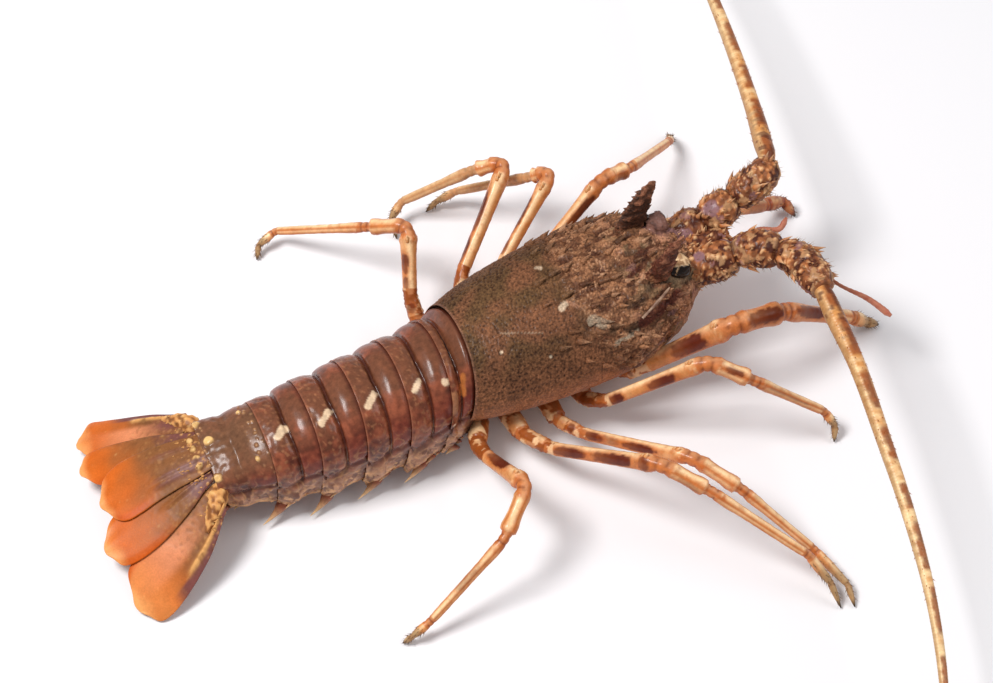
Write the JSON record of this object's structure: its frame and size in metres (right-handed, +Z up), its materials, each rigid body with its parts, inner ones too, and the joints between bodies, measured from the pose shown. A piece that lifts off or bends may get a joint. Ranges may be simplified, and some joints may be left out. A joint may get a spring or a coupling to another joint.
{
  "type": "spiny lobster",
  "caption": "Whole clawless spiny lobster at rest: spiny shell, ringed tail with an orange fan, slender jointed legs and long banded feelers.",
  "frame": {"origin": "middle of the flat keel under the head shell, the face it rests on", "axes": "+X towards the head, +Z up from the floor, +Y to the animal's left"},
  "size_m": [0.3782, 0.6785, 0.092],
  "materials": {
    "carapace_shell": "rough granular shell with spines",
    "tail_shell": "glossy dark red-brown shell",
    "fan_blade": "thin satin orange blades",
    "leg_shell": "glossy tan shell with maroon patches",
    "stem_shell": "spiny mottled shell",
    "feeler": "banded, finely ringed",
    "eye_ball": "glossy dark eye with a cream cap"
  },
  "bodies": {
    "root": {"carapace": "carapace_shell", "abdomen_1": "tail_shell", "abdomen_2": "tail_shell", "abdomen_3": "tail_shell", "abdomen_4": "tail_shell", "abdomen_5": "tail_shell", "abdomen_6": "tail_shell", "telson": "fan_blade", "uropod_inner_L": "fan_blade", "uropod_inner_R": "fan_blade", "uropod_outer_L": "fan_blade", "uropod_outer_R": "fan_blade", "leg_L1": "leg_shell", "leg_L2": "leg_shell", "leg_L3": "leg_shell", "leg_L4": "leg_shell", "leg_L5": "leg_shell", "leg_R1": "leg_shell", "leg_R2": "leg_shell", "leg_R3": "leg_shell", "leg_R4": "leg_shell", "leg_R5": "leg_shell", "antenna_base_L": "stem_shell", "antenna_base_R": "stem_shell", "flagellum_L": "feeler", "flagellum_R": "feeler", "antennule_L": "feeler", "antennule_R": "feeler", "palp_R": "feeler", "eye_L": "eye_ball", "eye_R": "eye_ball"}
  },
  "joints": []
}
